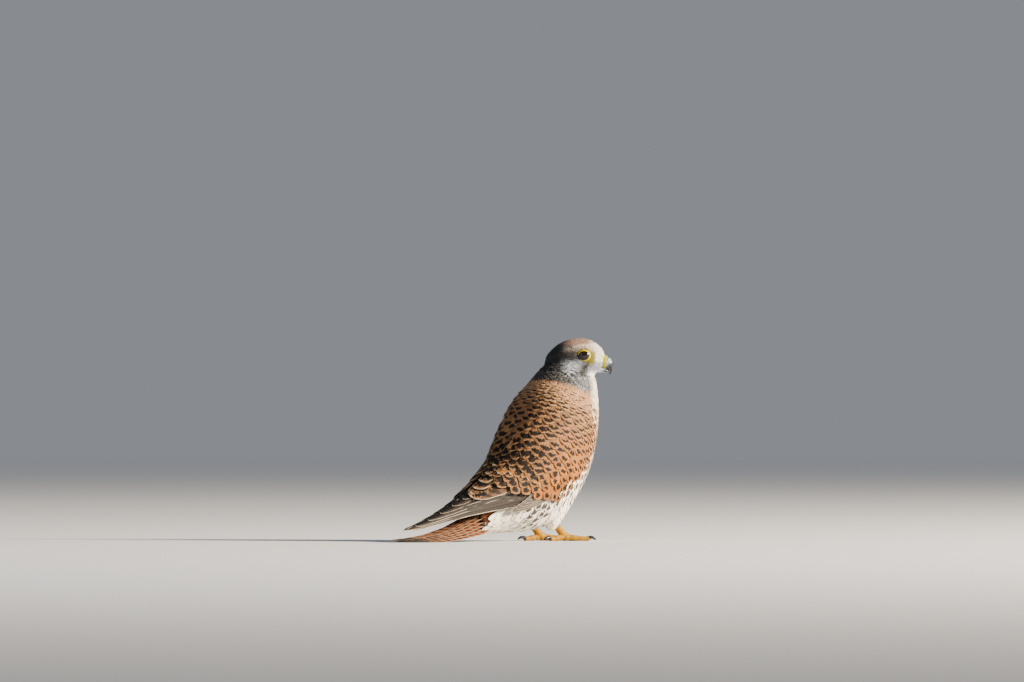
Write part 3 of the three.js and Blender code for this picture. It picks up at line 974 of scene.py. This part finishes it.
def quill(tract, side, start, tip, width, depth, feather, share=0.5, ease=1.5, camber=0.05):
    right = side == "right"
    tree = wingTrees[side]
    spine, normals = [], []
    for u in np.linspace(0, 1, tract.rows):
        s = start[0] + (tip[0] - start[0]) * u
        up = start[1] + (tip[1] - start[1]) * u**ease
        upper, lower, _ = wingAt(s)
        theta = lower - (lower - upper) * up
        hit, normal, _ = onSurface(tree, s, theta if right else -theta)
        spine.append(np.array(hit))
        normals.append(np.array(normal))
    spine = np.array(spine)
    normals = np.array(normals)
    for line in (spine, normals):
        for _ in range(4):
            line[1:-1] = (line[:-2] + 2 * line[1:-1] + line[2:]) / 4
    rise = lambda u: (depth[0] + (depth[1] - depth[0]) * u) * mm
    patch = (0.02 + 0.96 * start[0] / 300, 0.02 + 0.46 * start[1] + (0 if right else 0.5))
    share = share if right else 1 - share
    tract.lay(tree, spine, unit(normals), width * mm, rise, feather, patch, share, camber, flip=not right)


quills = {
    "outer": paint("3a332c"), "brown": paint("4c3a2b"), "pale": paint("bfae94"), "grey": paint("5a5148"),
    "primaryTips": [280, 288, 285, 273, 258, 243, 228, 215, 205, 197],
}


def layPrimaries(side):
    tract = Tract("primaries_" + side, flightPlumage, kind="flight", rows=26, lanes=8, thick=0.32)
    height = wingAt(150)[2]
    for k, tipAt in enumerate(quills["primaryTips"]):
        finish = 0.5 if k < 2 else min(0.82, 0.5 + 0.06 * k)
        feather = look(tint(quills["outer"], 0.05), quills["pale"], strength=0, fringe=0.42)
        start, tip = (112, (2.6 + 2.5 * k) / height), (tipAt, finish)
        depth = (-4.0 + 0.03 * k, -3.2 + 0.18 * k)
        quill(tract, side, start, tip, 15, depth, feather, share=0.22, ease=1.25, camber=0.02)
    # Secondaries, barred, above them
    for j in range(5):
        feather = look(
            tint(mixed(quills["brown"], mantle["middle"], 0.35), 0.05), quills["pale"], centre=0.9, half=0.03,
            repeat=0.13, reach=0.9, strength=0.8, fringe=0.7,
        )
        start, tip = (126, (27 + 2.4 * j) / height), (203 + 1.2 * j, 0.56 + 0.03 * j)
        depth = (-3.9 + 0.05 * j, -1.35 + 0.06 * j)
        quill(tract, side, start, tip, 15, depth, feather, share=0.25, camber=0.02)
    return tract.build()


def layCoverts(side):
    tract = Tract("tertials_" + side, chestnutPlumage, kind="flight", rows=18, lanes=8, thick=0.32)
    tertials = [(209, 0.74), (206, 0.82), (199, 0.88), (189, 0.92), (178, 0.95), (166, 0.97)]
    for j, (tipAt, up) in enumerate(tertials):
        feather = look(
            tint(mixed(mantle["middle"], quills["brown"], 0.2), 0.05), mantle["edge"], centre=0.89, half=0.07,
            repeat=0.17, reach=0.9, bend=0.04, fringe=1.1,
        )
        depth = (-3.9, -0.75 + 0.13 * j)
        quill(tract, side, (124 - 2 * j, up - 0.05), (tipAt, up), 19 - 0.5 * j, depth, feather)
    # Greater coverts, the upper ones longest
    for j in range(9):
        up = 0.2 + 0.07 * j
        feather = look(
            tint(mantle["covert"], 0.05), mantle["edge"], centre=0.84, half=0.07, repeat=0.34, reach=0.62,
            fringe=0.7,
        )
        quill(tract, side, (112 - j, up), (141 + 3.8 * j, up + 0.03), 12.5, (-3.9, -0.35 + 0.05 * j), feather)
    # Primary coverts along the lower edge
    for j in range(10):
        feather = look(tint(quills["grey"], 0.08), quills["pale"], strength=0, fringe=0.45)
        start, tip = (104, 0.02 + 0.018 * j), (178 - 4.6 * j, 0.05 + 0.03 * j)
        quill(tract, side, start, tip, 6.5, (-4.0, -1.7 + 0.1 * j), feather, share=0.3)
    return tract.build()


for side in sides:
    pieces["primaries_" + side] = layPrimaries(side)
    pieces["tertials_" + side] = layCoverts(side)
print("wings laid")


# Tail: twelve quills, the middle pair on top, lying flat on the floor
tail = {
    "root": -84, "tip": -190.3, "width": 20, "step": 1.9, "rufous": paint("a96d42"), "pale": paint("e6d6bd"),
    "top": ([84, 100, 122, 145, 166, 179, 191], [31, 24.5, 14.6, 7.6, 4.2, 3.1, 2.2]),
}
tailPlumage = plumage("tail_plumage", paint("201b1d"), 0.6)


def layTail():
    tract = Tract("tail_quills", tailPlumage, kind="flight", rows=30, lanes=8, thick=0.36)
    u = np.linspace(0, 1, tract.rows)
    for pair in range(5, -1, -1):
        for sign in (1, -1):
            tipAt = tail["tip"] + 2.2 * pair**1.25
            forward = tail["root"] + (tipAt - tail["root"]) * u
            side = sign * (1.2 + (0.4 + tail["step"] * u) * pair)
            top = np.interp(-forward, *tail["top"])
            floorGap = 0.35 + 0.28 * (5 - pair) + (0.1 if sign > 0 else 0)
            up = np.maximum(top * (0.92 - 0.1 * pair) - 0.4 * pair, floorGap)
            spine = np.array([place(f, x, z) for f, x, z in zip(forward, side, up)])
            lean = np.stack([side * 0.06 * (1 - u) ** 1.5, np.zeros_like(side), np.ones_like(side)], axis=1)
            slope = np.gradient(spine, axis=0)
            normals = unit(lean - slope * ((lean * slope).sum(1) / (slope * slope).sum(1))[:, None])
            feather = look(
                tint(tail["rufous"], 0.04), tail["pale"], centre=0.7, half=0.019, repeat=0.085, reach=1.5,
                bend=0.02, strength=0.8, fringe=0.9, band=24 - 1.5 * pair,
            )
            patch = (0.1 + 0.8 * (pair + 0.5 * (sign > 0)) / 6.5, 0.5)
            tract.lay(None, spine, normals, tail["width"] * mm, lambda v: v * 0, feather, patch, camber=0.0)
    return tract.build()


pieces["tail"] = layTail()
print("tail laid")


def simpleMaterial(name, colour, roughness, coat=0.0, grainSize=500.0, low=0.8):
    material, tree, shader = newMaterial(name)
    grain = noise(tree, objectPlace(tree), grainSize, 4.0)
    shade = ramp(tree, grain, 0.3, 0.7, low, 1.1)
    dress(tree, shader, shaded(tree, colour, shade), roughness, coat, 0.2)
    bump(tree, shader, grain, 0.3, 0.0002)
    return material


def billMaterial():  # pale blue-grey at its root, black at its point
    material, tree, shader = newMaterial("bill_horn")
    away = vectorMaths(tree, "SUBTRACT", objectPlace(tree), headMiddle)["Vector"]
    ahead = vectorMaths(tree, "DOT_PRODUCT", away, (headAhead - headUp * 0.75) / mm)["Value"]
    reach = ramp(tree, ahead, 27.0, 33.5)
    dress(tree, shader, blendColour(tree, reach, paint("9aa7b2"), paint("16171b")), 0.28, 0.3)
    return material


eyeMaterial = simpleMaterial("dark_eye", paint("160a06"), 0.08, 0.5)
clawMaterial = simpleMaterial("claw_horn", paint("1d1e21"), 0.3, 0.4)
yellowSkin = simpleMaterial("yellow_skin", paint("aa7a00"), 0.5, 0.1, 900.0)
cereYellow = simpleMaterial("cere_yellow", paint("968800"), 0.5, 0.1, 900.0)
scaleSkin = simpleMaterial("scale_skin", paint("9c6c00"), 0.5, 0.0, 300.0)
lidSkin = simpleMaterial("lid_skin", paint("b0a400"), 0.55, 0.1, 1500.0, 0.65)


def ballAt(name, centre, radius, material, way=Vector((0, 0, 1)), flat=1.0, around=32, rings=16):
    mesh = bmesh.new()
    bmesh.ops.create_uvsphere(mesh, u_segments=around, v_segments=rings, radius=radius * mm)
    turn = way.to_track_quat("Z", "Y").to_matrix().to_4x4()
    squash = Matrix.Diagonal((1, 1, flat, 1))
    bmesh.ops.transform(mesh, matrix=Matrix.Translation(centre) @ turn @ squash, verts=mesh.verts)
    data = meshData(name, mesh)
    data.shade_smooth()
    data.materials.append(material)
    return addObject(name, data)


# Eyes: dark balls inside a ring of yellow skin, wider towards the bill
eyeStyle = {"ball": 7.15, "opening": 4.9}


def makeLids(side, steps=72):  # a thin ring of skin hugging the ball, the upper lid lower over the eye
    outwards = headLeft if side == "left" else -headLeft
    centre = eyeCentre[side]
    points, faces = [], []
    rim = [
        (0.08, 0), (0.3, 1.5), (0.45, 4), (0.4, 8), (0.2, 13), (0.05, 18), (-0.7, 26), (-0.9, 16), (-0.5, 5),
    ]  # height in mm off the ball and degrees out from the opening
    for i in range(steps):
        angle = 2 * math.pi * i / steps
        over, ahead = math.sin(angle), math.cos(angle)
        opening = eyeStyle["opening"] * (1 - 0.22 * max(0, over) ** 1.5 - 0.05 * max(0, -over))
        start = math.asin(opening / eyeStyle["ball"])
        spread = 1 + 0.55 * max(0, ahead) ** 2 + 0.1 * max(0, -over)
        way = headAhead * ahead + headUp * over
        for height, turn in rim:
            polar = start + math.radians(turn) * spread
            radius = eyeStyle["ball"] + height
            points.append(centre + (way * math.sin(polar) + outwards * math.cos(polar)) * radius * mm)
    count = len(rim)
    for i in range(steps):
        following = (i + 1) % steps
        for j in range(count):
            other = (j + 1) % count
            faces.append((i * count + j, i * count + other, following * count + other, following * count + j))
    piece = meshObject("eyelids_" + side, points, faces, lidSkin)
    mesh = bmesh.new()
    mesh.from_mesh(piece.data)
    bmesh.ops.recalc_face_normals(mesh, faces=mesh.faces)
    mesh.to_mesh(piece.data)
    mesh.free()
    return piece


for side in sides:
    pieces["eye_" + side] = ballAt(
        "eyeball_" + side, eyeCentre[side], eyeStyle["ball"], eyeMaterial, around=48, rings=32
    )
    pieces["lids_" + side] = makeLids(side)

billHorn = billMaterial()
pieces["cere"] = remeshed("cere_skin", ["cere"], 0.35, 8, cereYellow, 0.6)
pieces["upper_bill"] = remeshed("bill_hook", ["upper_bill"], 0.3, 6, billHorn, 0.15)
pieces["lower_bill"] = remeshed("bill_below", ["lower_bill"], 0.3, 6, billHorn, 0.1)

# Nostrils: a round dark opening on each side of the cere, with a small knob in its middle
nostril = {"along": 22.8, "up": 0.6, "radius": 0.95, "flat": 0.22, "knob": 0.36, "knobFlat": 0.7}
nostrilDark = simpleMaterial("nostril_dark", paint("2a2113"), 0.7)
bareTree = treeOf(pieces["cere"].data)
for side, sign in zip(sides, (1, -1)):
    origin = headPoint(nostril["along"], 12 * sign, nostril["up"])
    hit, normal, _, _ = bareTree.ray_cast(origin, -headLeft * sign, 0.02)
    pieces["nostril_" + side] = ballAt(
        "nostril_" + side, hit, nostril["radius"], nostrilDark, normal, nostril["flat"]
    )
    middle = hit + normal * 0.12 * mm
    pieces["knob_" + side] = ballAt(
        "knob_" + side, middle, nostril["knob"], cereYellow, normal, nostril["knobFlat"], 16, 8
    )


# Feet and claws
def footNodes(side):
    return ["tarsus_" + side, *(f"toe_{toe}_{side}" for toe in ("middle", "inner", "outer", "hind"))]


def clawNodes(side):
    return [f"claw_{toe}_{side}" for toe in ("middle", "inner", "outer", "hind")]


for side in sides:
    pieces["foot_" + side] = remeshed("foot_" + side, footNodes(side), 0.5, 8, yellowSkin, 0.25)
    pieces["claws_" + side] = remeshed("claws_" + side, clawNodes(side), 0.3, 4, clawMaterial, 0.2)
    liftToFloor(pieces["foot_" + side].data)
    liftToFloor(pieces["claws_" + side].data)


# Scales over the legs and toes, laid on the feet by Geometry Nodes
scales = {"apart": 0.95, "length": 1.25, "width": 1.1, "height": 0.42, "seed": 11}


def scaleTree():
    tree = bpy.data.node_groups.new("leg_scales", "GeometryNodeTree")
    tree.interface.new_socket("Geometry", in_out="INPUT", socket_type="NodeSocketGeometry")
    for name in ("Apart", "Length", "Width", "Height"):
        tree.interface.new_socket(name, in_out="INPUT", socket_type="NodeSocketFloat")
    tree.interface.new_socket("Geometry", in_out="OUTPUT", socket_type="NodeSocketGeometry")
    start = tree.nodes.new("NodeGroupInput")
    end = tree.nodes.new("NodeGroupOutput")
    scatter = tree.nodes.new("GeometryNodeDistributePointsOnFaces")
    scatter.distribute_method = "POISSON"
    scatter.inputs["Density Max"].default_value = 4e6
    scatter.inputs["Seed"].default_value = scales["seed"]
    dome = tree.nodes.new("GeometryNodeMeshIcoSphere")
    dome.inputs["Radius"].default_value = 0.5
    dome.inputs["Subdivisions"].default_value = 2
    size = tree.nodes.new("ShaderNodeCombineXYZ")
    onPoints = tree.nodes.new("GeometryNodeInstanceOnPoints")
    real = tree.nodes.new("GeometryNodeRealizeInstances")
    smooth = tree.nodes.new("GeometryNodeSetShadeSmooth")
    skinned = tree.nodes.new("GeometryNodeSetMaterial")
    skinned.inputs["Material"].default_value = scaleSkin
    joins = (
        (start, "Geometry", scatter, "Mesh"), (start, "Apart", scatter, "Distance Min"),
        (start, "Width", size, "X"), (start, "Length", size, "Y"), (start, "Height", size, "Z"),
        (scatter, "Points", onPoints, "Points"), (scatter, "Rotation", onPoints, "Rotation"),
        (dome, "Mesh", onPoints, "Instance"), (size, "Vector", onPoints, "Scale"),
        (onPoints, "Instances", real, "Geometry"), (real, "Geometry", smooth, "Geometry"),
        (smooth, "Geometry", skinned, "Geometry"), (skinned, "Geometry", end, "Geometry"),
    )
    for source, output, target, socket in joins:
        tree.links.new(source.outputs[output], target.inputs[socket])
    return tree


def layScales(tree, foot, name):
    piece = addObject(name, foot.data.copy())
    modifier = piece.modifiers.new("scales", "NODES")
    modifier.node_group = tree
    for item in tree.interface.items_tree:
        if item.in_out == "INPUT" and item.name.lower() in scales:
            modifier[item.identifier] = scales[item.name.lower()] * mm
    liftToFloor(applied(piece))
    return piece


legScales = scaleTree()
for side in sides:
    pieces["scales_" + side] = layScales(legScales, pieces["foot_" + side], "leg_scales_" + side)
    print("scales", len(pieces["scales_" + side].data.polygons))

# The skin takes the ground colour of the nearest feather
finder = KDTree(len(groundSamples))
for i, (where, colour) in enumerate(groundSamples):
    finder.insert(where, i)
finder.balance()
groundValues = np.ones((len(skin.data.vertices), 4), np.float32)
for i, vertex in enumerate(skin.data.vertices):
    groundValues[i, :3] = groundSamples[finder.find(vertex.co)[1]][1]
skin.data.attributes.new("ground", "FLOAT_COLOR", "POINT").data.foreach_set("color", groundValues.reshape(-1))

# For each piece a slot name, which nothing below reads, and the CAD nodes that it stands for, which are
# hidden
roles = {
    "skin": ("body_feathers", fleshNodes),
    "mantle": ("covert_feathers", []),
    "breast": ("body_feathers", []),
    "neck": ("neck_feathers", []),
    "head": ("head_feathers", []),
    "trousers": ("body_feathers", []),
    "tail": ("tail_feathers", ["tail"]),
    "cere": ("cere_skin", ["cere"]),
    "upper_bill": ("horn", ["upper_bill"]),
    "lower_bill": ("horn", ["lower_bill"]),
}
for side in sides:
    roles |= {
        "primaries_" + side: ("flight_feathers", ["primaries_" + side]),
        "tertials_" + side: ("covert_feathers", []),
        "eye_" + side: ("eye", ["eye_" + side]),
        "lids_" + side: ("cere_skin", []),
        "nostril_" + side: ("cere_skin", []),
        "knob_" + side: ("cere_skin", []),
        "foot_" + side: ("foot_scales", footNodes(side)),
        "claws_" + side: ("horn", clawNodes(side)),
        "scales_" + side: ("foot_scales", []),
    }
for name, (slotName, replaced) in roles.items():
    piece = pieces[name]
    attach(piece, "root")
    if replaced:
        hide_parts(*replaced)
print("pieces", len(roles))


# Floor, light and air
studio = {
    "floor": (0.6, 0.6, 0.61), "air": (0.6, 0.63, 0.69), "airStrength": 0.42,
    "keyFar": 5.0, "keySize": 0.9, "keyPower": 1420, "keyColour": (1, 0.89, 0.73),
    "fillSize": 1.8, "fillPower": 24, "fillColour": (0.42, 0.66, 1),
}


def makeFloor():
    mesh = bmesh.new()
    bmesh.ops.create_circle(mesh, cap_ends=True, segments=96, radius=12)
    floor = addObject("floor", meshData("floor", mesh))
    material, tree, shader = newMaterial("pale_floor")
    shader.inputs["Base Color"].default_value = (*studio["floor"], 1)
    shader.inputs["Roughness"].default_value = 0.9
    away = vectorMaths(tree, "LENGTH", objectPlace(tree))["Value"]
    tree.links.new(ramp(tree, away, 3.0, 11.5, 1.0, 0.0), shader.inputs["Alpha"])  # it fades out far off
    floor.data.materials.append(material)


def areaLight(name, where, size, power, colour):
    data = bpy.data.lights.new(name, "AREA")
    data.size = size
    data.energy = power
    data.color = colour
    lamp = addObject(name, data)
    lamp.location = where
    lamp.rotation_euler = aimed(heart - where)


makeFloor()
heart = place(0, 0, 95)
keyWay = (imageRight + toCamera * 0.22 + Vector((0, 0, 0.42))).normalized()
keyPlace = heart + keyWay * studio["keyFar"]
fillPlace = heart - imageRight * 2.4 + toCamera * 2.6 + Vector((0, 0, 1.2))
areaLight("key", keyPlace, studio["keySize"], studio["keyPower"], studio["keyColour"])
areaLight("fill", fillPlace, studio["fillSize"], studio["fillPower"], studio["fillColour"])
world = bpy.data.worlds.new("studio_air")
bpy.context.scene.world = world
world.use_nodes = True
air = world.node_tree.nodes["Background"]
air.inputs["Color"].default_value = (*studio["air"], 1)
air.inputs["Strength"].default_value = studio["airStrength"]
